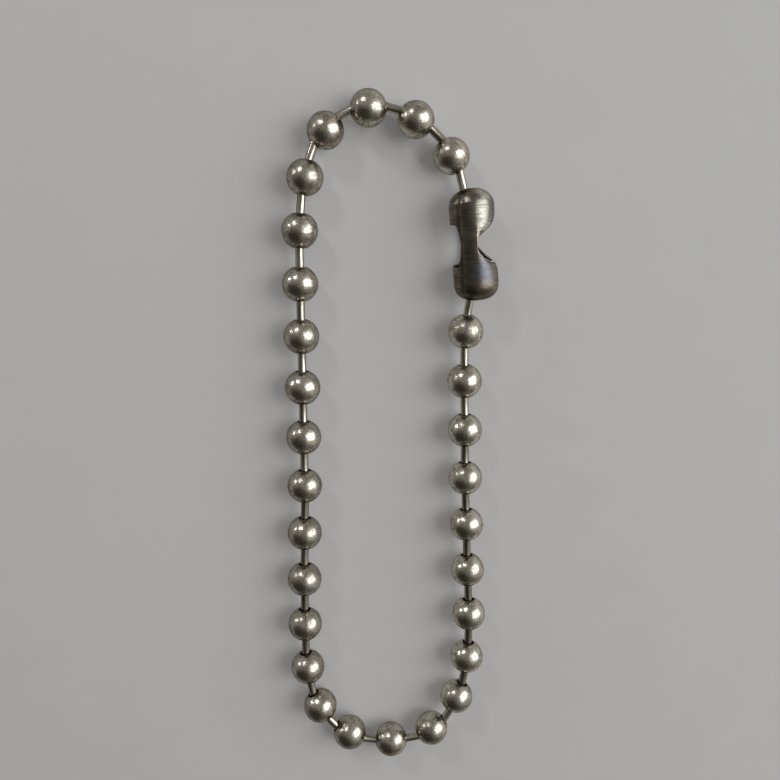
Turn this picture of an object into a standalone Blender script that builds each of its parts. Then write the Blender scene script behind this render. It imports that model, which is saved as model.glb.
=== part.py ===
"""A loop of large ball chain, closed by its sheet-metal coupling and laid flat.

Hollow balls are strung on short pins whose flared heads are trapped inside them. The two
end balls sit in the cups of a slotted coupling. The loop lies on the plane z = 0, its long
way along Y. Metres, +Z up.
"""
import math

import bmesh
import bpy
import numpy as np
from mathutils import Matrix, Vector

MM = 0.001
UP = Vector((0, 0, 1))

# Balls: 3/8 inch beads rolled from thin strip, with a round hole at each end of their axis.
BALL_R = 4.75 * MM
BALL_WALL = 0.48 * MM
HOLE_R = 1.65 * MM
BALL_SIDES = 12
BALL_OUTER_STEPS = 6
BALL_INNER_STEPS = 3

# Pins: round wire with both ends flared wider than the holes.
PIN_R = 1.1 * MM
PIN_HEAD_R = 1.9 * MM
PIN_HEAD_LENGTH = 0.6 * MM
PIN_LENGTH = 10 * MM
PIN_SIDES = 6

# Coupling: a rolled tube of sheet with a domed cup at each end, joined by two necks.
SHEET = 0.55 * MM
TUBE_R = 5.85 * MM
TUBE_LENGTH = 29.4 * MM
DOME_HEIGHT = 4.6 * MM
SLOT_HALF_WIDTH = 1.7 * MM
MOUTH_HALF_LENGTH = 5.3 * MM
BACK_HALF_LENGTH = 5.5 * MM
# Angles round the tube are measured from the middle of its slot.
MOUTH_CORNER_DEG = 37.0
NECK_DEG = (53.0, 99.0)
BACK_DEG = 180.0
SLOT_DROP_DEG = 10.0
COUPLING_ROWS = 4

# The loop. The chain turns by these angles, one for each ball, on its way anticlockwise
# from the ball in the upper cup to the ball in the lower cup.
BENDS_DEG = (17, 24, 31, 39, 38, 18, 6, 1, 0, 0, 0, -1, 0, 1, 3, 13, 28, 34, 28, 40, 24, 11, 4,
             0, 0, -1, 0, -2, -9, 14)
FULL_TURN_DEG = 360.0
PIN_SHOWS = 4.2 * MM
BEND_TAKES_UP = 1.55 * MM
CUP_SPACING = 18.0 * MM
CUP_TO_NEXT_BALL = 14.2 * MM
END_BALL_TILT_DEG = 22.0
END_BALL_DROP = 0.1 * MM
COUPLING_HEADING_DEG = 94.5


def link_lengths(bends):
    """Distance from each ball to the next: a bent link closes up, and the last is the coupling."""
    half = np.radians(np.abs(bends)) / 2
    reach = BALL_R * np.cos(half) - BEND_TAKES_UP * np.sin(half)
    lengths = reach + np.roll(reach, -1) + PIN_SHOWS
    lengths[0] = CUP_TO_NEXT_BALL
    lengths[-2] = CUP_TO_NEXT_BALL
    lengths[-1] = CUP_SPACING
    return lengths


def walk(bends):
    """Ball centres in plan, and last the point that closes the loop on the first ball."""
    headings = np.radians(COUPLING_HEADING_DEG) + np.cumsum(np.radians(bends))
    lengths = link_lengths(bends)
    steps = np.stack([lengths * np.cos(headings), lengths * np.sin(headings)], axis=1)
    return np.vstack([[0, 0], np.cumsum(steps, axis=0)])


def closing_error(bends):
    return np.append(walk(bends)[-1] / MM, bends.sum() - FULL_TURN_DEG)


def closed_bends():
    """The bends, changed as little as closes the loop."""
    bends = np.array(BENDS_DEG, dtype=float)
    nudge = 0.001
    for _ in range(10):
        error = closing_error(bends)
        slopes = [(closing_error(bends + row) - error) / nudge for row in nudge * np.eye(len(bends))]
        bends -= np.linalg.pinv(np.array(slopes).T) @ error
    return bends


def ball_centres():
    """Balls rest on the floor, and the two in the cups at the height of the tube."""
    plan = walk(closed_bends())[:-1]
    centres = [Vector((x, y, BALL_R)) for x, y in plan]
    for end in (0, -1):
        centres[end].z = TUBE_R - END_BALL_DROP
    return centres


def level(vector):
    return Vector((vector.x, vector.y, 0)).normalized()


def coupling_directions(centres):
    """Along the tube towards the first ball, and out of its slot to the inside of the loop."""
    along = level(centres[0] - centres[-1])
    inwards = UP.cross(along)
    drop = math.radians(SLOT_DROP_DEG)
    return along, inwards * math.cos(drop) - UP * math.sin(drop)


def pin_ends(centres, axes):
    """Each pin runs straight from the middle of one ball's hole to the middle of the next's."""
    reach = math.sqrt((BALL_R - BALL_WALL / 2) ** 2 - HOLE_R**2)
    starts = [centre + reach * axis for centre, axis in zip(centres, axes)]
    ends = [centre - reach * axis for centre, axis in zip(centres, axes)]
    return list(zip(starts, ends[1:]))


def ball_axes(centres):
    """Each ball turns until its two pins lean alike in its holes."""
    along, slot = coupling_directions(centres)
    tilt = math.radians(END_BALL_TILT_DEG)
    first = along * math.cos(tilt) + slot * math.sin(tilt)
    last = along * math.cos(tilt) - slot * math.sin(tilt)
    axes = [first] + [level(after - here) for here, after in zip(centres[1:], centres[2:])] + [last]
    for _ in range(20):
        runs = [level(end - start) for start, end in pin_ends(centres, axes)]
        sums = [3 * axis + before + after for axis, before, after in zip(axes[1:], runs, runs[1:])]
        axes[1:-1] = [total.normalized() for total in sums]
    return axes


def placement(centre, axis, side):
    """A matrix that takes Z along the axis and X as near to the side as it goes."""
    x = (side - axis * side.dot(axis)).normalized()
    turn = Matrix((x, axis.cross(x), axis)).transposed()
    return Matrix.Translation(centre) @ turn.to_4x4()


def arc(radius, start, end, steps):
    """Points (x, z) on a circle about the origin, by angle from +Z."""
    angles = np.linspace(start, end, steps + 1)
    return [(radius * math.sin(a), radius * math.cos(a)) for a in angles]


def turned_mesh(name, profile, sides, closed):
    """Spins a profile of (x, z) points about Z."""
    mesh = bpy.data.meshes.new(name)
    edges = [(i, i + 1) for i in range(len(profile) - 1)]
    if closed:
        edges.append((len(profile) - 1, 0))
    mesh.from_pydata([(x, 0, z) for x, z in profile], edges, [])
    blank = bpy.data.objects.new(name, mesh)
    bpy.context.scene.collection.objects.link(blank)
    screw = blank.modifiers.new("spin", "SCREW")
    screw.steps = sides
    screw.render_steps = sides
    screw.use_merge_vertices = True
    screw.merge_threshold = 0.01 * MM
    graph = bpy.context.evaluated_depsgraph_get()
    solid = bpy.data.meshes.new_from_object(blank.evaluated_get(graph))
    solid.name = name
    bpy.data.objects.remove(blank)
    solid.shade_smooth()
    solid.set_sharp_from_angle(angle=math.radians(50))
    return solid


def ball_mesh():
    """A thin shell, open at both poles."""
    outer_hole = math.asin(HOLE_R / BALL_R)
    inner_hole = math.asin(HOLE_R / (BALL_R - BALL_WALL))
    outside = arc(BALL_R, outer_hole, math.pi - outer_hole, BALL_OUTER_STEPS)
    inside = arc(BALL_R - BALL_WALL, math.pi - inner_hole, inner_hole, BALL_INNER_STEPS)
    return turned_mesh("ball", outside + inside, BALL_SIDES, closed=True)


def pin_mesh():
    end = PIN_LENGTH / 2
    neck = end - PIN_HEAD_LENGTH
    half = [(0, end), (PIN_HEAD_R, end), (PIN_R, neck)]
    mirrored = [(x, -z) for x, z in reversed(half)]
    return turned_mesh("link_pin", half + mirrored, PIN_SIDES, closed=False)


def coupling_columns():
    """(angle from the slot, half-length of the opening there), from the slot to the back."""
    slot = math.degrees(math.asin(SLOT_HALF_WIDTH / TUBE_R))
    columns = [(angle, MOUTH_HALF_LENGTH) for angle in (slot, 1.3 * slot, 1.8 * slot)]
    neck_start, neck_end = NECK_DEG
    for turn in np.radians((90, 60, 30, 0)):
        angle = MOUTH_CORNER_DEG + (neck_start - MOUTH_CORNER_DEG) * math.cos(turn)
        columns.append((angle, MOUTH_HALF_LENGTH * math.sin(turn)))
    columns.append(((neck_start + neck_end) / 2, 0))
    for turn in np.radians((0, 18, 36, 54, 72, 90)):
        angle = BACK_DEG + (neck_end - BACK_DEG) * math.cos(turn)
        columns.append((angle, BACK_HALF_LENGTH * math.sin(turn)))
    return columns


def coupling_point(angle, opening, row):
    """A point of the outer surface: rows run from the opening's edge to the hole in the dome."""
    wall_end = TUBE_LENGTH / 2 - DOME_HEIGHT
    hole = SLOT_HALF_WIDTH / math.sin(min(angle, math.pi / 2))
    if row == 0:
        radius, height = TUBE_R, opening
    else:
        rise = math.acos(min(hole / TUBE_R, 1)) * (row - 1) / (COUPLING_ROWS - 1)
        radius, height = TUBE_R * math.cos(rise), wall_end + DOME_HEIGHT * math.sin(rise)
    return Vector((radius * math.cos(angle), radius * math.sin(angle), height))



def coupling_mesh():
    """A quarter of the rolled sheet: half of one cup, with half of a neck."""
    columns = coupling_columns()
    sheet = bmesh.new()
    bmesh.ops.create_grid(sheet, x_segments=len(columns) - 1, y_segments=COUPLING_ROWS, size=0.5)
    for vert in sheet.verts:
        angle, opening = columns[round((vert.co.x + 0.5) * (len(columns) - 1))]
        row = round((vert.co.y + 0.5) * COUPLING_ROWS)
        vert.co = coupling_point(math.radians(angle), opening, row)
    bmesh.ops.remove_doubles(sheet, verts=sheet.verts, dist=0.01 * MM)
    mesh = bpy.data.meshes.new("coupling")
    sheet.to_mesh(mesh)
    sheet.free()
    mesh.shade_smooth()
    mesh.set_sharp_from_angle(angle=math.radians(50))
    return mesh


def add_coupling(collection, root, material, centres):
    coupling = bpy.data.objects.new("coupling", coupling_mesh())
    coupling.data.materials.append(material)
    mirror = coupling.modifiers.new("other quarters", "MIRROR")
    mirror.use_axis = (False, True, True)
    mirror.merge_threshold = 0.01 * MM
    solidify = coupling.modifiers.new("sheet", "SOLIDIFY")
    solidify.thickness = SHEET
    solidify.offset = -1
    solidify.use_even_offset = True
    along, slot = coupling_directions(centres)
    middle = (centres[0] + centres[-1]) / 2
    middle.z = TUBE_R
    coupling.matrix_local = placement(middle, along, slot)
    coupling.parent = root
    collection.objects.link(coupling)


def add_balls(collection, root, material, centres, axes):
    mesh = ball_mesh()
    mesh.materials.append(material)
    for number, (centre, axis) in enumerate(zip(centres, axes), start=1):
        ball = bpy.data.objects.new(f"ball_{number:02d}", mesh)
        ball.matrix_local = placement(centre, axis, -UP)
        ball.parent = root
        collection.objects.link(ball)


def add_pins(collection, root, material, centres, axes):
    mesh = pin_mesh()
    mesh.materials.append(material)
    for number, (start, end) in enumerate(pin_ends(centres, axes), start=1):
        pin = bpy.data.objects.new(f"link_pin_{number:02d}", mesh)
        pin.matrix_local = placement((start + end) / 2, (end - start).normalized(), UP)
        pin.parent = root
        collection.objects.link(pin)


def metal(name, colour, roughness):
    material = bpy.data.materials.new(name)
    material.use_nodes = True
    shader = material.node_tree.nodes["Principled BSDF"]
    shader.inputs["Base Color"].default_value = (*colour, 1)
    shader.inputs["Metallic"].default_value = 1
    shader.inputs["Roughness"].default_value = roughness
    return material


def centre_on_origin(root):
    """Moves the loop so that the middle of its box in plan is at the origin."""
    bpy.context.view_layer.update()
    graph = bpy.context.evaluated_depsgraph_get()
    corners = []
    for piece in root.children:
        shape = piece.evaluated_get(graph)
        points = np.array([shape.matrix_world @ v.co for v in shape.data.vertices])
        corners += [points.min(axis=0), points.max(axis=0)]
    middle = (np.min(corners, axis=0) + np.max(corners, axis=0)) / 2
    root.location = (-middle[0], -middle[1], 0)


def main():
    for existing in list(bpy.data.objects):
        bpy.data.objects.remove(existing)
    collection = bpy.data.collections.new("ball_chain")
    bpy.context.scene.collection.children.link(collection)
    root = bpy.data.objects.new("loop", None)
    collection.objects.link(root)
    centres = ball_centres()
    axes = ball_axes(centres)
    add_balls(collection, root, metal("satin_nickel", (0.62, 0.59, 0.55), 0.35), centres, axes)
    add_pins(collection, root, metal("bright_nickel", (0.58, 0.56, 0.52), 0.3), centres, axes)
    add_coupling(collection, root, metal("dark_steel", (0.3, 0.27, 0.25), 0.35), centres)
    centre_on_origin(root)


main()
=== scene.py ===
"""The looks of a loop of large ball chain lying on a pale floor.

Satin nickel balls with a rolled-in hole at each end and a closed seam, worn wire pins
between them, and a coupling formed from dark drawn steel sheet. Metres, +Z up.
"""
import math
import random

import bmesh
import bpy
import numpy as np
from mathutils import Matrix, Vector, noise


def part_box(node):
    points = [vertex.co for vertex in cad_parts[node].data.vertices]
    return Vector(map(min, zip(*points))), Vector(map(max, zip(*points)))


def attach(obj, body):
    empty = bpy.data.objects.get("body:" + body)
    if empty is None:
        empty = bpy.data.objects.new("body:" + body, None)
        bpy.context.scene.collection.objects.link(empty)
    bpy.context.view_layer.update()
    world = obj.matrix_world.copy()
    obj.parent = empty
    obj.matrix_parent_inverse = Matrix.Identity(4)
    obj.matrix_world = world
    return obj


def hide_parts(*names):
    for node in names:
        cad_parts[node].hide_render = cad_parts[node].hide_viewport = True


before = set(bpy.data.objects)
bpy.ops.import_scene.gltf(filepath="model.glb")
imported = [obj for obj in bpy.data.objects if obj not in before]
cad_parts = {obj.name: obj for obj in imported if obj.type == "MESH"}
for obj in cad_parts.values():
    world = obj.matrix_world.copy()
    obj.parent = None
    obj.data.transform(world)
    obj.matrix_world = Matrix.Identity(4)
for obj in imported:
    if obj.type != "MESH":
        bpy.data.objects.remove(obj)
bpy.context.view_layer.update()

MM = 0.001
UP = Vector((0, 0, 1))
SAME_PLACE = 0.001 * MM

# Balls. An edge that turns by more than CRISP_DEG is shown sharp.
BALLS = 30
BALL_R = 4.75 * MM
BALL_WALL = 0.48 * MM
HOLE_R = 1.6 * MM
BALL_SIDES = 56
BALL_RINGS = 40
LIP_DEPTH = 0.4 * MM
LIP_TAPER = 0.97
LIP_ROUNDING = 0.16 * MM
SEAM_HALF_WIDTH = 0.06 * MM
SEAM_DEPTH = 0.09 * MM
CRISP_DEG = 35.0
DENT_DEPTH = 0.04 * MM
DENT_SIZE = 2.4 * MM
DENT_DRIFT = 9.0

# How far a ball's seam leans from the top to the loop's outside. The seams not listed face the
# floor, each somewhere in the range below.
SEAM_LEAN_DEG = {2: 26, 3: 44, 7: -52, 13: -6, 15: -5, 22: 37}
SEAM_BELOW_DEG = (120, 240)
SEAM_SEED = 7

# Link pins.
PIN_R = 1.1 * MM
PIN_HEAD_R = 1.9 * MM
PIN_HEAD_LENGTH = 0.6 * MM
PIN_SIDES = 32
PIN_ROUNDING = 0.1 * MM
PIN_CORNER_DEG = 20.0

# How far each pin's plate has darkened, where it isn't as good as the rest.
USUAL_TARNISH = 0.15
PIN_TARNISH = {2: 0.5, 12: 0.4, 13: 0.3, 14: 0.5, 15: 0.3}
PIN_TARNISH.update({number: 0.6 for number in range(21, 27)})

# Coupling, with angles round the tube measured from the middle of its slot. The slot's cut edge
# takes in the columns nearer than SLOT_EDGE_DEG, and the worn edges are those that turn by more
# than SHARP_DEG.
SHEET = 0.55 * MM
DOME_HEIGHT = 4.6 * MM
SLOT_HALF_WIDTH = 1.7 * MM
SLOT_EDGE_DEG = 20.0
MOUTH_HALF_LENGTH = 5.3 * MM
MOUTH_CORNER_DEG = 37.0
NECK_DEG = (53.0, 99.0)
BACK_DEG = 180.0
SLOT_DROP_DEG = 10.0
MOUTH_FLARE = 0.35 * MM
FLARE_WIDTH_DEG = 25.0
FLARE_FADE = 3
DIE_LINE_DEG = 53.5
DIE_LINE_WIDTH_DEG = 5.5
DIE_LINE_DEPTH = 0.14 * MM
# How fast the painted shade along the die's line fades up the dome.
CREASE_SHADE_FADE = 2.5
EDGE_ROUNDING = 0.18 * MM
SHARP_DEG = 50.0
MERGE_DISTANCE = 0.005 * MM

# The openings are skewed, most in the middle of the tube and not at all this far from it, as a
# share of its length.
OPENING_SKEW = 0.15
SKEW_REACH = 0.4

# The coupling's grid: rows up the wall, which crowd towards the opening, rows over the dome, and
# columns along the mouth's edge, round its corner, across the neck and round the back opening.
WALL_ROWS = 14
ROW_CROWDING = 1.3
DOME_ROWS = 14
MOUTH_COLUMNS = 7
CORNER_COLUMNS = 12
NECK_COLUMNS = 20
BACK_COLUMNS = 24
GRID_HALF = 0.5

# How far each end's dome stops short of the tube's end, and how full its shoulders are.
DOMES = {1: (0.35 * MM, 0.01), -1: (0.0, 0.06)}

# The back opening at each end of the tube: its half-length, its roundness (1 is an ellipse, less
# is squarer), and how far and over what height the wall closes in round it.
BACK_OPENINGS = {
    1: (3.3 * MM, 0.4, 3.3 * MM, 5.0 * MM),
    -1: (4.7 * MM, 1.0, 1.2 * MM, 3.6 * MM),
}

# Where the coupling's steel is blued and rubbed paler, and where its painted highlights lie, in
# millimetres in the tube's own frame, and how far from there that ends and is full.
BLUED_AT = (-2.2, 5.4, -7.0)
BLUED_REACH = (5.6, 2.4)
# Rubbed by handling, and also a painted highlight: paler steel where the lamp's reflection falls.
RUBBED_SHEEN_AT = (-3.0, 5.0, 8.0)
RUBBED_SHEEN_REACH = (7.0, 3.5)
# Painted highlights on one shoulder and the corner below it.
HIGHLIGHT_CORNER = (-4.0, 4.2, 4.2)
HIGHLIGHT_SHOULDER = (-3.2, 3.2, 12.6)
HIGHLIGHT_REACH = (3.6, 1.6)

# Patterns in the finishes: scale, layers of detail and roughness.
BALL_CLOUDS = (1.7, 4.0, 0.6)
BALL_MOTTLE = (6.0, 3.0, 0.65)
BALL_FLECKS = (17.0, 2.0, 0.6)
BALL_LINES = (9.0, 3.0, 0.7)
PIN_DRAWING = (1.4, 3.0, 0.6)
PIN_WEAR = (0.45, 3.0, 0.6)
TUBE_RINGS = (2.0, 4.0, 0.65)
TUBE_MARKS = (0.8, 3.0, 0.6)
TUBE_CLOUDS = (0.25, 3.0, 0.6)
TUBE_GRAIN = (2.6, 3.0, 0.65)
FLOOR_FLECKS = (60.0, 3.0, 0.6)

# How far the patterns move on from one ball or pin to the next.
BALL_DRIFT = 3.7
PIN_DRAWING_DRIFT = 5.3
PIN_WEAR_DRIFT = 2.9

# How deep the patterns go where they are felt.
BALL_DIPS = 0.12 * MM
BALL_GRAIN = 0.02 * MM
BALL_PITS = 0.005 * MM
BALL_SCRATCHES = 0.012 * MM
PIN_LINES = 0.02 * MM
TUBE_LINES = 0.04 * MM
TUBE_SCUFFS = 0.02 * MM

# Colours of the metals, and their tint where they are seen at a low angle.
NICKEL_BRIGHT = (0.485, 0.455, 0.405, 1)
NICKEL_GREY = (0.33, 0.305, 0.265, 1)
NICKEL_YELLOW = (0.45, 0.455, 0.39, 1)
NICKEL_BROWN = (0.15, 0.115, 0.078, 1)
# Painted shade in the ball's seam.
SEAM_SHADE = (0.03, 0.025, 0.02, 1)
PIN_SILVER = (0.45, 0.42, 0.375, 1)
PIN_WARM = (0.44, 0.39, 0.29, 1)
PIN_DARK = (0.13, 0.11, 0.09, 1)
STEEL_DARK = (0.135, 0.115, 0.092, 1)
STEEL_PALE = (0.235, 0.22, 0.19, 1)
# Rubbed steel, which also paints in part of the highlight as a painted sheen.
STEEL_RUBBED_SHEEN = (0.215, 0.21, 0.183, 1)
# Painted highlight on the coupling's shoulder and corner.
STEEL_HIGHLIGHT = (0.52, 0.51, 0.46, 1)
STEEL_BLUE = (0.078, 0.086, 0.110, 1)
STEEL_BROWN = (0.05, 0.04, 0.032, 1)
# Bare cut edge, near white for a painted glint.
STEEL_BARE_GLINT = (0.90, 0.88, 0.84, 1)
# Painted shade on the inside of the sheet.
INSIDE_SHADE = (0.02, 0.016, 0.013, 1)
GRAZING_TINT = (0.5, 0.48, 0.45, 1)

# Camera, in millimetres and degrees.
CAMERA_AT = (-15.69, 55.65, 202.83)
CAMERA_TURN_DEG = (-11.066, -4.721, -0.423)
LENS_MM = 34.615
CLIP_START = 0.01

# The room's light: its level low down, how much it loses higher up, and its dark and light
# sides, each with its direction and the cosines between which it fades in.
ROOM_LEVEL = 0.425
ROOM_LOSS = 0.08
ROOM_TINT = (1.0, 0.97, 0.91, 1)
LIGHT_SIDE = (0.88, 0.16, 0.45)
LIGHT_SIDE_FADE = (0.45, 0.95)
LIGHT_SIDE_GAIN = 0.35
DARK_SIDE = (-0.52, -0.67, 0.53)
DARK_SIDE_FADE = (0.45, 0.95)
DARK_FOOT = (0.33, -0.92, 0.20)
DARK_FOOT_FADE = (0.80, 0.98)
DARK_FOOT_DEPTH = 0.6
DARK_TINT = (0.04, 0.022, 0.01, 1)
DARK_DEPTH = 0.88

# The floor, in metres: its greys, the share of its light that is filled in for the camera, what
# metal mirrors of it, and how far off it takes the room's light.
FLOOR_HALF = 3.0
FLOOR_GREY = (0.40, 0.396, 0.388, 1)
FLOOR_DARKER = (0.39, 0.38, 0.375, 1)
FLOOR_PALER = (0.41, 0.40, 0.395, 1)
FLOOR_FILL = 0.25
MIRRORED_SHARE = 0.55
MIRRORED_PALE = (1.1, 1.09, 1.07, 1)
LAMP_SIDE_X = (-0.035, 0.065)
FAR_OFF = (0.2, 0.8)

# Flat lamps that face the loop: place, width and height in metres, and radiance.
LAMP_TINT = (0.94, 0.98, 1.0)
LAMPS = {
    "wide lamp": ((0.90, 0.21, 0.76), 0.84, 1.12, 5.2),
    "far small lamp": ((-1.46, 0.76, 0.34), 0.18, 0.18, 25.0),
    "near small lamp": ((-0.32, 0.53, 0.38), 0.08, 0.08, 50.0),
}


def middle(node):
    """The middle of a CAD node's box."""
    low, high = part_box(node)
    return (low + high) / 2


def points(node):
    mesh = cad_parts[node].data
    return np.array([vertex.co for vertex in mesh.vertices])


def axis_of(node):
    """The direction in which a turned solid differs from the two across it."""
    spread = np.cov(points(node).T)
    sizes, directions = np.linalg.eigh(spread)
    odd = np.argmax(np.abs(sizes - np.median(sizes)))
    return Vector(directions[:, odd])


def length_along(node, axis):
    """How far a CAD node reaches along an axis, end to end."""
    reach = points(node) @ np.array(axis)
    return reach.max() - reach.min()


def onward_axis(number):
    """A ball's axis, pointing on round the loop towards the next ball."""
    axis = axis_of(f"ball_{number:02d}")
    before = middle(f"ball_{(number - 2) % BALLS + 1:02d}")
    after = middle(f"ball_{number % BALLS + 1:02d}")
    return axis if axis.dot(after - before) > 0 else -axis


def placement(centre, axis, side):
    """A matrix that takes Z along the axis and X as near to the side as it goes."""
    x = (side - axis * side.dot(axis)).normalized()
    turn = Matrix((x, axis.cross(x), axis)).transposed()
    return Matrix.Translation(centre) @ turn.to_4x4()


# Shaders.


class Value:
    """A shader socket that Python's operators work on."""

    def __init__(self, finish, socket):
        self.finish = finish
        self.socket = socket

    def math(self, operation, *others):
        return self.finish.node("ShaderNodeMath", {"operation": operation}, [self, *others])

    def __add__(self, other):
        return self.math("ADD", other)

    def __sub__(self, other):
        return self.math("SUBTRACT", other)

    def __rsub__(self, other):
        return self * -1 + other

    def __mul__(self, other):
        return self.math("MULTIPLY", other)

    def __truediv__(self, other):
        return self.math("DIVIDE", other)

    def __pow__(self, other):
        return self.math("POWER", other)

    def __abs__(self):
        return self.math("ABSOLUTE")

    __radd__ = __add__
    __rmul__ = __mul__


class Finish:
    """The nodes of a material or of the world, which all come from the method node."""

    def __init__(self, holder):
        self.holder = holder
        holder.use_nodes = True
        self.tree = holder.node_tree
        self.tree.nodes.clear()

    def node(self, kind, settings=None, inputs=(), output=0):
        """Adds a node; inputs is a list in socket order or a dict by socket name."""
        added = self.tree.nodes.new(kind)
        for name, value in (settings or {}).items():
            setattr(added, name, value)
        named = inputs.items() if isinstance(inputs, dict) else enumerate(inputs)
        for key, value in named:
            if isinstance(value, Value):
                self.tree.links.new(value.socket, added.inputs[key])
            elif value is not None:
                added.inputs[key].default_value = value
        return Value(self, added.outputs[output]) if len(added.outputs) else None

    def attribute(self, name, output):
        return self.node("ShaderNodeAttribute", {"attribute_name": name}, output=output)

    def place(self):
        return self.node("ShaderNodeTexCoord", output="Object")

    def place_in_room(self):
        return self.node("ShaderNodeTexCoord", output="Generated")

    def measure(self, operation, first, second):
        settings = {"operation": operation}
        return self.node("ShaderNodeVectorMath", settings, [first, second], output="Value")

    def dot(self, first, second):
        return self.measure("DOT_PRODUCT", first, second)

    def distance(self, first, second):
        return self.measure("DISTANCE", first, second)

    def near(self, place, spot, raggedness, reach):
        """1 near a spot and 0 beyond its reach, with a ragged edge."""
        return self.between(self.distance(place, spot) + raggedness, *reach)

    def parts_of(self, vector):
        parts = self.node("ShaderNodeSeparateXYZ", inputs=[vector]).socket.node
        return [Value(self, socket) for socket in parts.outputs]

    def vector(self, x, y, z):
        return self.node("ShaderNodeCombineXYZ", inputs=[x, y, z])

    def noise(self, vector, pattern):
        scale, detail, roughness = pattern
        inputs = {"Vector": vector, "Scale": scale, "Detail": detail, "Roughness": roughness}
        return self.node("ShaderNodeTexNoise", inputs=inputs)

    def between(self, value, low, high):
        """0 at low, 1 at high and smooth between them; low may be the larger of the two."""
        inputs = {"Value": value, "From Min": low, "From Max": high}
        return self.node("ShaderNodeMapRange", {"interpolation_type": "SMOOTHSTEP"}, inputs)

    def mix(self, factor, first, second):
        """A colour between two others, which are the node's sockets 6 and 7."""
        inputs = {0: factor, 6: first, 7: second}
        return self.node("ShaderNodeMix", {"data_type": "RGBA"}, inputs, output=2)

    def relief(self, *layers):
        """Bumps laid one on another, each a pattern and how deep it goes."""
        normal = None
        for height, depth in layers:
            inputs = {"Height": height, "Distance": depth, "Strength": 1.0, "Normal": normal}
            normal = self.node("ShaderNodeBump", inputs=inputs)
        return normal

    def principled(self, **inputs):
        named = {key.replace("_", " "): value for key, value in inputs.items()}
        shader = self.node("ShaderNodeBsdfPrincipled", inputs=named)
        self.node("ShaderNodeOutputMaterial", inputs=[shader])
        return self.holder


def new_finish(name):
    return Finish(bpy.data.materials.new(name))


def ball_patterns(finish, x, y, z, number):
    """Clouds, mottle, flecks and lines that run from hole to hole, different on each ball."""
    around = (x * x + y * y) ** 0.5
    drift = number * BALL_DRIFT
    moved = finish.vector(x + drift, y, z)
    drawn_out = finish.vector(x / around + drift, y / around, z * 0.12)
    spots = [finish.noise(moved, kind) for kind in (BALL_CLOUDS, BALL_MOTTLE, BALL_FLECKS)]
    return spots + [finish.noise(drawn_out, BALL_LINES)]


def ball_nickel():
    """Satin nickel plate: dulled in clouds, flecked, brown at the holes, and with painted shade in
    its seam.
    """
    finish = new_finish("ball nickel")
    x, y, z = finish.parts_of(finish.attribute("ball_place", "Vector"))
    number = finish.attribute("ball_number", "Fac")
    clouds, mottle, flecks, lines = ball_patterns(finish, x, y, z, number)
    near_hole = finish.between(abs(z) + mottle * 0.16, 0.93, 1.06)
    dull = finish.between(clouds + mottle * 0.45, 0.64, 0.86)
    stained = finish.between(mottle + clouds * 0.5, 0.77, 0.92)
    # Painted shade in the seam's hollow, which is also rougher.
    seam_shade = finish.between(finish.attribute("hollow", "Fac"), 0.0, 0.5)
    yellowed = finish.between(number, 16.0, 19.0) * 0.5
    tint = finish.mix(yellowed, NICKEL_BRIGHT, NICKEL_YELLOW)
    plate = finish.mix(dull, tint, NICKEL_GREY)
    flecked = finish.mix(finish.between(flecks, 0.51, 0.62) * 0.58, plate, NICKEL_BROWN)
    spotted = finish.mix(stained * 0.55, flecked, NICKEL_BROWN)
    lined = finish.mix(finish.between(lines, 0.55, 0.75) * 0.3, spotted, NICKEL_GREY)
    holed = finish.mix(near_hole * 0.7, lined, NICKEL_BROWN)
    # Painted shade in the seam.
    shade = finish.mix(seam_shade * 0.9, holed, SEAM_SHADE)
    roughness = seam_shade * 0.3 + 0.17 + dull * 0.06 + mottle * 0.10 + stained * 0.1 + near_hole * 0.12
    relief = finish.relief(
        (clouds, BALL_DIPS),
        (mottle, BALL_GRAIN),
        (flecks, BALL_PITS),
        (lines, BALL_SCRATCHES),
    )
    return finish.principled(
        Base_Color=shade,
        Metallic=1.0,
        Roughness=roughness,
        Specular_Tint=GRAZING_TINT,
        Normal=relief,
    )


def pin_nickel():
    """Plated wire, worn warm in places, with drawing lines along it."""
    finish = new_finish("pin nickel")
    local = finish.attribute("pin_place", "Vector")
    number = finish.attribute("pin_number", "Fac")
    tarnish = finish.attribute("tarnish", "Fac")
    x, y, z = finish.parts_of(local)
    drawn_out = finish.vector(x + number * PIN_DRAWING_DRIFT, y, z * 0.08)
    drawn = finish.noise(drawn_out, PIN_DRAWING)
    worn = finish.noise(finish.vector(x, y + number * PIN_WEAR_DRIFT, z), PIN_WEAR)
    plate = finish.mix(finish.between(worn, 0.50, 0.68), PIN_SILVER, PIN_WARM)
    streaked = finish.mix(finish.between(drawn, 0.48, 0.64) * 0.75, plate, PIN_DARK)
    shade = finish.mix(tarnish, streaked, PIN_DARK)
    return finish.principled(
        Base_Color=shade,
        Metallic=1.0,
        Roughness=0.14 + worn * 0.18,
        Specular_Tint=GRAZING_TINT,
        Normal=finish.relief((drawn, PIN_LINES)),
    )


def painted_highlights(finish, local, marks):
    """Painted highlights on one shoulder and the corner below it, where the lamp's reflection is
    painted on as pale steel.
    """
    corner = finish.near(local, HIGHLIGHT_CORNER, marks * 1.5, HIGHLIGHT_REACH)
    shoulder = finish.near(local, HIGHLIGHT_SHOULDER, marks * 1.5, HIGHLIGHT_REACH)
    return corner.math("MAXIMUM", shoulder) * 0.75


def bare_edges_and_glint(finish, x, y, inside):
    """Where the sheet's cut edge is bare, and near white for a painted glint: most of all on the
    upper side, by the back opening.
    """
    sheared = finish.between(finish.attribute("cut_edge", "Fac"), 0.2, 0.5) * (1 - inside)
    glinting_back_edge = finish.between(x, 0.5, -1.0) * finish.between(y, -1.5, 0.5)
    return sheared * (0.2 + glinting_back_edge * 0.8)


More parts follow.
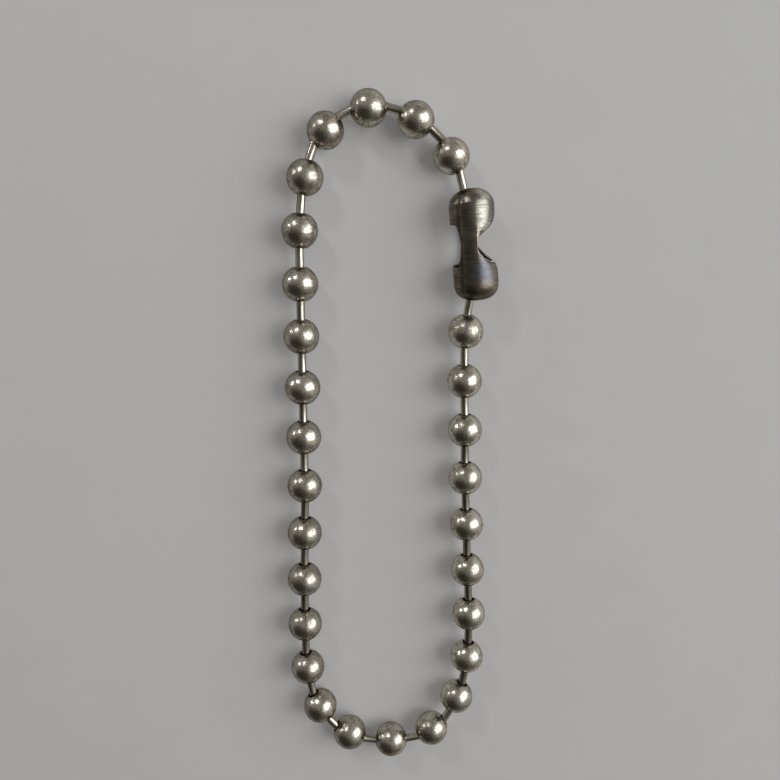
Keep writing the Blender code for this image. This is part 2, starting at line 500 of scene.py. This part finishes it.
def coupling_steel():
    """Dark drawn steel with marks round the tube: rubbed paler at one end, with painted highlights
    and a painted sheen there, blued and darker at the other, with painted shade in its crease and
    inside and a painted glint on its cut edges.
    """
    finish = new_finish("coupling steel")
    local = finish.attribute("tube_place", "Vector")
    inside = finish.attribute("inside", "Fac")
    x, y, z = finish.parts_of(local)
    rings = finish.noise(finish.vector(x * 0.1, y * 0.1, z * 2.4), TUBE_RINGS)
    marks = finish.noise(finish.vector(x * 0.5, y * 0.5, z), TUBE_MARKS)
    clouds = finish.noise(local, TUBE_CLOUDS)
    grain = finish.noise(local, TUBE_GRAIN)
    streaks = finish.between(rings, 0.43, 0.60)
    worn = finish.between(marks + rings * 0.4 + grain * 0.3, 0.75, 1.15)
    steel = finish.mix(worn, STEEL_DARK, STEEL_PALE)
    # Rubbed paler by handling, and also a painted highlight where the lamp's reflection falls; the
    # rings are deeper there too.
    rubbing_and_sheen = finish.near(local, RUBBED_SHEEN_AT, marks * 3.0, RUBBED_SHEEN_REACH)
    # Painted sheen: the side of the tube towards the lamp is paler and less brown.
    lamp_side_sheen = finish.between(x, -3.0, -5.0)
    handled_and_sheen = finish.mix(rubbing_and_sheen * (0.5 + streaks * 0.5) + lamp_side_sheen * 0.5, steel, STEEL_RUBBED_SHEEN)
    # Painted highlight: pale steel on one shoulder and the corner below it.
    highlighted = finish.mix(painted_highlights(finish, local, marks), handled_and_sheen, STEEL_HIGHLIGHT)
    # Darker and browner towards the lower end; less so on the left lip, which is lighter for a
    # painted reflection, and on the lamp's side, where the painted sheen is.
    lower_end = finish.between(z, 0.5, -4.0)
    lip_reflection = finish.between(x, 3.2, 4.0)
    lower_darkening = lower_end * (0.5 - lip_reflection * 0.3 - lamp_side_sheen * 0.45)
    darkened_below = finish.mix(lower_darkening, highlighted, STEEL_BROWN)
    bluing = finish.near(local, BLUED_AT, clouds * 3.0, BLUED_REACH)
    blued = finish.mix(bluing * (0.5 + streaks * 0.45), darkened_below, STEEL_BLUE)
    lined = finish.mix(finish.between(rings, 0.47, 0.36) * 0.7, blued, STEEL_BROWN)
    # Painted shade along the die's line.
    crease_shaded = finish.mix(finish.attribute("crease_shade", "Fac") * 0.65, lined, STEEL_BROWN)
    # Painted shade: the inside of the sheet is near black.
    inside_shaded = finish.mix(inside, crease_shaded, INSIDE_SHADE)
    # Bare cut edges, with a painted glint by the back opening.
    bare_and_glint = bare_edges_and_glint(finish, x, y, inside)
    shade = finish.mix(bare_and_glint, inside_shaded, STEEL_BARE_GLINT)
    roughness = 0.13 + clouds * 0.12 + grain * 0.10 + lower_end * 0.14 + inside * 0.3
    return finish.principled(
        Base_Color=shade,
        Metallic=1 - bare_and_glint * 0.9,
        Roughness=roughness,
        Specular_Tint=GRAZING_TINT,
        Normal=finish.relief((rings * (1 + rubbing_and_sheen), TUBE_LINES), (grain, TUBE_SCUFFS)),
    )


def room_light(finish, towards):
    """The room's light: paler low down and at one side, dark where someone stands."""
    rise = finish.parts_of(towards)[2]
    glow = finish.between(finish.dot(towards, LIGHT_SIDE), *LIGHT_SIDE_FADE)
    foot = finish.between(finish.dot(towards, DARK_FOOT), *DARK_FOOT_FADE) * DARK_FOOT_DEPTH
    side = finish.between(finish.dot(towards, DARK_SIDE), *DARK_SIDE_FADE)
    shadow = side.math("MAXIMUM", foot) * DARK_DEPTH
    level = ROOM_LEVEL - finish.between(rise, 0.0, 0.5) * ROOM_LOSS + glow * LIGHT_SIDE_GAIN
    tint = finish.mix(shadow, ROOM_TINT, DARK_TINT)
    inputs = {"Vector": tint, "Scale": level}
    return finish.node("ShaderNodeVectorMath", {"operation": "SCALE"}, inputs)


def floor_paint():
    """Matt grey with its shadows part filled. Far off it glows as the room does.

    Metal mirrors it paler than it is, most of all on the lamp's side.
    """
    finish = new_finish("floor paint")
    place = finish.place()
    x, y = finish.parts_of(place)[:2]
    flecks = finish.noise(place, FLOOR_FLECKS)
    shade = finish.mix(flecks, FLOOR_DARKER, FLOOR_PALER)
    paint = finish.node("ShaderNodeBsdfDiffuse", inputs=[shade, 0.0])
    fill = finish.node("ShaderNodeEmission", inputs=[FLOOR_GREY, 1.0])
    seen = finish.node("ShaderNodeLightPath", output="Is Camera Ray")
    filled = finish.node("ShaderNodeMixShader", inputs=[seen * FLOOR_FILL, paint, fill])
    pale = finish.mix(finish.between(x, *LAMP_SIDE_X), FLOOR_GREY, MIRRORED_PALE)
    shine = finish.node("ShaderNodeEmission", inputs=[pale, 1.0])
    mirrored = finish.node("ShaderNodeLightPath", output="Is Glossy Ray") * MIRRORED_SHARE
    near = finish.node("ShaderNodeMixShader", inputs=[mirrored, filled, shine])
    towards = finish.node("ShaderNodeVectorMath", {"operation": "NORMALIZE"}, [place])
    glow = finish.node("ShaderNodeEmission", inputs=[room_light(finish, towards), 1.0])
    far = finish.between((x * x + y * y) ** 0.5, *FAR_OFF)
    mixed = finish.node("ShaderNodeMixShader", inputs=[far, near, glow])
    finish.node("ShaderNodeOutputMaterial", inputs=[mixed])
    return finish.holder


# Pieces.


def add_piece(name, shape, material, node):
    """Makes a bmesh a smooth piece that stands for a CAD node."""
    mesh = bpy.data.meshes.new(name)
    shape.to_mesh(mesh)
    shape.free()
    mesh.materials.append(material)
    mesh.shade_smooth()
    piece = bpy.data.objects.new(name, mesh)
    bpy.context.scene.collection.objects.link(piece)
    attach(piece, "root")
    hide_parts(node)
    return piece


def write_hollows(shape, radius):
    """Marks what lies below a ball's round surface, for the seam's painted shade: 0 on it, 1 in the
    seam.
    """
    layer = shape.verts.layers.float.new("hollow")
    for vertex in shape.verts:
        vertex[layer] = min(1, max(0, (radius - vertex.co.length) / SEAM_DEPTH))


def write_places(shape, layer_name, unit):
    """Keeps each vertex's place in the piece's own frame, for its material."""
    layer = shape.verts.layers.float_vector.new(layer_name)
    for vertex in shape.verts:
        vertex[layer] = vertex.co / unit


def write_number(shape, layer_name, number):
    """Gives every vertex the same number, for the material."""
    layer = shape.verts.layers.float.new(layer_name)
    for vertex in shape.verts:
        vertex[layer] = number


def round_edges(shape, edges, offset, segments):
    bmesh.ops.bevel(
        shape,
        geom=edges,
        offset=offset,
        offset_type="OFFSET",
        segments=segments,
        profile=0.5,
        affect="EDGES",
        material=-1,
    )


def press_seam(shape, radius):
    """Parts the meridian at +X, where the rolled strip closes, and sinks its middle."""
    seam = [
        edge
        for edge in shape.edges
        if all(abs(v.co.y) < SAME_PLACE and v.co.x > HOLE_R / 2 for v in edge.verts)
    ]
    round_edges(shape, seam, SEAM_HALF_WIDTH, segments=2)
    for vertex in shape.verts:
        if abs(vertex.co.y) < SAME_PLACE and vertex.co.x > 0:
            vertex.co *= 1 - SEAM_DEPTH / radius


def open_holes(shape, radius):
    """Cuts off both ends of a ball, where its holes are."""
    height = math.sqrt(radius**2 - HOLE_R**2)
    for side in (1, -1):
        geometry = shape.verts[:] + shape.edges[:] + shape.faces[:]
        bmesh.ops.bisect_plane(
            shape,
            geom=geometry,
            plane_co=(0, 0, side * height),
            plane_no=(0, 0, side),
            clear_outer=True,
        )


def turn_in_lips(shape):
    """Rolls the rim of each hole into the ball."""
    rims = [edge for edge in shape.edges if edge.is_boundary]
    made = bmesh.ops.extrude_edge_only(shape, edges=rims)["geom"]
    for vertex in made:
        if isinstance(vertex, bmesh.types.BMVert):
            vertex.co.z -= math.copysign(LIP_DEPTH, vertex.co.z)
            vertex.co.xy *= LIP_TAPER
    round_edges(shape, rims, LIP_ROUNDING, segments=3)


def ball_shape(radius):
    """A ball rolled from strip, open at both ends of its axis, which is Z."""
    shape = bmesh.new()
    bmesh.ops.create_uvsphere(
        shape, u_segments=BALL_SIDES, v_segments=BALL_RINGS, radius=radius
    )
    open_holes(shape, radius)
    press_seam(shape, radius)
    turn_in_lips(shape)
    bmesh.ops.recalc_face_normals(shape, faces=shape.faces)
    bmesh.ops.solidify(shape, geom=shape.faces[:], thickness=BALL_WALL)
    for edge in shape.edges:
        edge.smooth = edge.calc_face_angle(0) < math.radians(CRISP_DEG)
    return shape


def dent(shape, drift):
    """Shallow dips, so that no two balls shine alike."""
    for vertex in shape.verts:
        wave = noise.noise(vertex.co / DENT_SIZE + drift)
        vertex.co *= 1 - DENT_DEPTH * (0.5 + wave) / BALL_R


def add_balls(material):
    random.seed(SEAM_SEED)
    low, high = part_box("ball_01")
    radius = (high.z - low.z) / 2
    pattern = ball_shape(radius)
    for number in range(1, BALLS + 1):
        node = f"ball_{number:02d}"
        shape = pattern.copy()
        write_hollows(shape, radius)
        write_places(shape, "ball_place", radius)
        write_number(shape, "ball_number", number)
        dent(shape, Vector((0, 0, DENT_DRIFT * number)))
        lean = SEAM_LEAN_DEG.get(number, random.uniform(*SEAM_BELOW_DEG))
        seam_turn = Matrix.Rotation(math.radians(lean), 4, "Z")
        shape.transform(placement(middle(node), onward_axis(number), UP) @ seam_turn)
        add_piece(f"nickel_{node}", shape, material, node)
    pattern.free()


def pin_shape(length):
    """Wire with flared ends, along Z."""
    shape = bmesh.new()
    neck = length / 2 - PIN_HEAD_LENGTH
    profile = [(0, -length / 2), (PIN_HEAD_R, -length / 2), (PIN_R, -neck)]
    profile += [(x, -z) for x, z in reversed(profile)]
    verts = [shape.verts.new((x, 0, z)) for x, z in profile]
    edges = [shape.edges.new(pair) for pair in zip(verts, verts[1:])]
    bmesh.ops.spin(
        shape,
        geom=verts + edges,
        axis=(0, 0, 1),
        cent=(0, 0, 0),
        angle=2 * math.pi,
        steps=PIN_SIDES,
        use_merge=True,
    )
    bmesh.ops.remove_doubles(shape, verts=shape.verts, dist=SAME_PLACE)
    bmesh.ops.recalc_face_normals(shape, faces=shape.faces)
    corner = math.radians(PIN_CORNER_DEG)
    rims = [edge for edge in shape.edges if edge.calc_face_angle(0) > corner]
    round_edges(shape, rims, PIN_ROUNDING, segments=2)
    return shape


def add_pins(material):
    pattern = pin_shape(length_along("link_pin_01", axis_of("link_pin_01")))
    for number in range(1, BALLS):
        node = f"link_pin_{number:02d}"
        shape = pattern.copy()
        write_places(shape, "pin_place", MM)
        write_number(shape, "pin_number", number)
        write_number(shape, "tarnish", PIN_TARNISH.get(number, USUAL_TARNISH))
        shape.transform(placement(middle(node), axis_of(node), UP))
        add_piece(f"wire_{node}", shape, material, node)
    pattern.free()


def coupling_frame():
    """Where the tube lies, and its radius and length."""
    first, last = middle("ball_01"), middle(f"ball_{BALLS}")
    along = (first - last).normalized()
    inwards = UP.cross(along)
    drop = math.radians(SLOT_DROP_DEG)
    slot = inwards * math.cos(drop) - UP * math.sin(drop)
    low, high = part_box("coupling")
    radius = (high.z - low.z) / 2
    centre = (first + last) / 2
    centre.z = (high.z + low.z) / 2
    lost_at_hole = DOME_HEIGHT * (1 - math.sin(math.acos(SLOT_HALF_WIDTH / radius)))
    length = length_along("coupling", along) + 2 * lost_at_hole
    return placement(centre, along, slot), radius, length


def spaced(start, end, steps):
    """Values from start to end, without start."""
    return [start + (end - start) * (i + 1) / steps for i in range(steps)]


def coupling_columns(radius, back_opening):
    """(angle from the slot, half-length of the opening there), from the slot to the back."""
    back_half_length, roundness = back_opening[:2]
    slot = math.degrees(math.asin(SLOT_HALF_WIDTH / radius))
    straight = [slot] + spaced(slot, MOUTH_CORNER_DEG, MOUTH_COLUMNS)
    columns = [(angle, MOUTH_HALF_LENGTH) for angle in straight]
    neck_start, neck_end = NECK_DEG
    for turn in np.radians(spaced(90, 0, CORNER_COLUMNS)):
        angle = MOUTH_CORNER_DEG + (neck_start - MOUTH_CORNER_DEG) * math.cos(turn)
        columns.append((angle, MOUTH_HALF_LENGTH * math.sin(turn)))
    columns += [(angle, 0) for angle in spaced(neck_start, neck_end, NECK_COLUMNS)]
    for turn in np.radians(spaced(0, 90, BACK_COLUMNS)):
        angle = BACK_DEG + (neck_end - BACK_DEG) * math.cos(turn)
        columns.append((angle, back_half_length * math.sin(turn) ** roundness))
    return columns


def die_line(angle):
    """How near an angle is to the shallow line that the die left, from 0 to 1."""
    away = (math.degrees(angle) - DIE_LINE_DEG) / DIE_LINE_WIDTH_DEG
    return math.exp(-(away**2))


def wall_shift(angle):
    """How far the wall stands out by the mouth, less the depth of the die's line."""
    share = min(1, max(0, (DIE_LINE_DEG - math.degrees(angle)) / FLARE_WIDTH_DEG))
    return MOUTH_FLARE * share**2 - DIE_LINE_DEPTH * die_line(angle)


def back_curl(opening, height, back_opening):
    """How far the wall closes in round the back opening, at a height above the opening's edge."""
    half_length, roundness, depth, reach = back_opening
    share = max(0, 1 - height / reach)
    return depth * (opening / half_length) ** (2 / roundness) * (1 - math.sqrt(1 - share**2))


def coupling_point(angle, opening, row, radius, length, end):
    """A point of the outer surface: rows run from the opening's edge to the hole in the dome."""
    shortfall, fullness = DOMES[end]
    wall_end = length / 2 - DOME_HEIGHT - shortfall
    hole = SLOT_HALF_WIDTH / math.sin(min(angle, math.pi / 2))
    reach = radius + wall_shift(angle)
    if row <= WALL_ROWS:
        height = opening + (wall_end - opening) * (row / WALL_ROWS) ** ROW_CROWDING
        if angle > math.radians(NECK_DEG[1]):
            reach -= back_curl(opening, height - opening, BACK_OPENINGS[end])
    else:
        rise = math.acos(min(hole / radius, 1)) * (row - WALL_ROWS) / DOME_ROWS
        swell = 1 + fullness * math.sin(2 * rise) ** 2
        reach = (radius + wall_shift(angle) * math.cos(rise) ** FLARE_FADE) * math.cos(rise) * swell
        height = wall_end + DOME_HEIGHT * math.sin(rise) * swell
    return Vector((reach * math.cos(angle), reach * math.sin(angle), height))


def form_end(shape, radius, length, end):
    """Forms one end of the rolled sheet's outer face from a flat grid, on one side of the slot."""
    columns = coupling_columns(radius, BACK_OPENINGS[end])
    rows = WALL_ROWS + DOME_ROWS
    edge = shape.verts.layers.float["cut_edge"]
    crease_shade = shape.verts.layers.float["crease_shade"]
    gaps = len(columns) - 1
    grid = bmesh.ops.create_grid(shape, x_segments=gaps, y_segments=rows, size=GRID_HALF)
    for vertex in grid["verts"]:
        angle, opening = columns[round((vertex.co.x + GRID_HALF) * gaps)]
        row = round((vertex.co.y + GRID_HALF) * rows)
        cut_open = row == 0 and opening > 0
        vertex[edge] = float(row == rows or cut_open or angle < SLOT_EDGE_DEG)
        up_dome = max(0, row - WALL_ROWS) / DOME_ROWS
        # Painted shade along the die's line, fading up the dome.
        vertex[crease_shade] = die_line(math.radians(angle)) * max(0, 1 - CREASE_SHADE_FADE * up_dome)
        vertex.co = coupling_point(math.radians(angle), opening, row, radius, length, end)
        if cut_open:
            vertex.co.xy *= 1 - EDGE_ROUNDING / radius
        vertex.co.z *= end


def coupling_shape(radius, length):
    """The rolled sheet's outer face."""
    shape = bmesh.new()
    # Layers for the cut edge and for the painted shade along the die's line.
    shape.verts.layers.float.new("cut_edge")
    shape.verts.layers.float.new("crease_shade")
    for end in DOMES:
        form_end(shape, radius, length, end)
    geometry = shape.verts[:] + shape.edges[:] + shape.faces[:]
    bmesh.ops.mirror(shape, geom=geometry, axis="Y", merge_dist=MERGE_DISTANCE)
    bmesh.ops.remove_doubles(shape, verts=shape.verts, dist=MERGE_DISTANCE)
    for vertex in shape.verts:
        share = max(0, 1 - abs(vertex.co.z) / (SKEW_REACH * length))
        lower = 1 - 2 * vertex.co.z / length
        vertex.co.z -= OPENING_SKEW * vertex.co.y * share * lower
    bmesh.ops.recalc_face_normals(shape, faces=shape.faces)
    return shape


def add_coupling(material):
    place, radius, length = coupling_frame()
    shape = coupling_shape(radius, length)
    inside = shape.verts.layers.float.new("inside")
    made = bmesh.ops.solidify(shape, geom=shape.faces[:], thickness=SHEET)["geom"]
    for vertex in made:
        if isinstance(vertex, bmesh.types.BMVert):
            vertex[inside] = 1
    write_places(shape, "tube_place", MM)
    shape.transform(place)
    piece = add_piece("rolled_coupling", shape, material, "coupling")
    bevel = piece.modifiers.new("worn edges", "BEVEL")
    bevel.width = EDGE_ROUNDING
    bevel.segments = 2
    bevel.limit_method = "ANGLE"
    bevel.angle_limit = math.radians(SHARP_DEG)


# Stage.


def add_floor():
    shape = bmesh.new()
    bmesh.ops.create_grid(shape, x_segments=2, y_segments=2, size=FLOOR_HALF)
    mesh = bpy.data.meshes.new("floor")
    shape.to_mesh(mesh)
    shape.free()
    mesh.materials.append(floor_paint())
    floor = bpy.data.objects.new("floor", mesh)
    bpy.context.scene.collection.objects.link(floor)


def add_lamp(name, place, width, height, radiance):
    """A flat lamp at a place, in metres, that faces the loop."""
    light = bpy.data.lights.new(name, "AREA")
    light.shape = "RECTANGLE"
    light.size = width
    light.size_y = height
    light.energy = radiance * math.pi * width * height
    light.color = LAMP_TINT
    lamp = bpy.data.objects.new(name, light)
    lamp.location = place
    lamp.rotation_euler = Vector(place).to_track_quat("Z", "Y").to_euler()
    bpy.context.scene.collection.objects.link(lamp)


def add_world():
    finish = Finish(bpy.data.worlds.new("studio"))
    light = room_light(finish, finish.place_in_room())
    background = finish.node("ShaderNodeBackground", inputs=[light, 1.0])
    finish.node("ShaderNodeOutputWorld", inputs=[background])
    bpy.context.scene.world = finish.holder


def add_camera():
    camera = bpy.data.objects.new("camera", bpy.data.cameras.new("camera"))
    camera.location = Vector(CAMERA_AT) * MM
    camera.rotation_euler = [math.radians(turn) for turn in CAMERA_TURN_DEG]
    camera.data.lens = LENS_MM
    camera.data.clip_start = CLIP_START
    bpy.context.scene.collection.objects.link(camera)
    bpy.context.scene.camera = camera


def main():
    add_camera()
    add_balls(ball_nickel())
    add_pins(pin_nickel())
    add_coupling(coupling_steel())
    add_floor()
    for name, lamp in LAMPS.items():
        add_lamp(name, *lamp)
    add_world()
    bpy.context.scene.view_settings.view_transform = "Standard"


main()
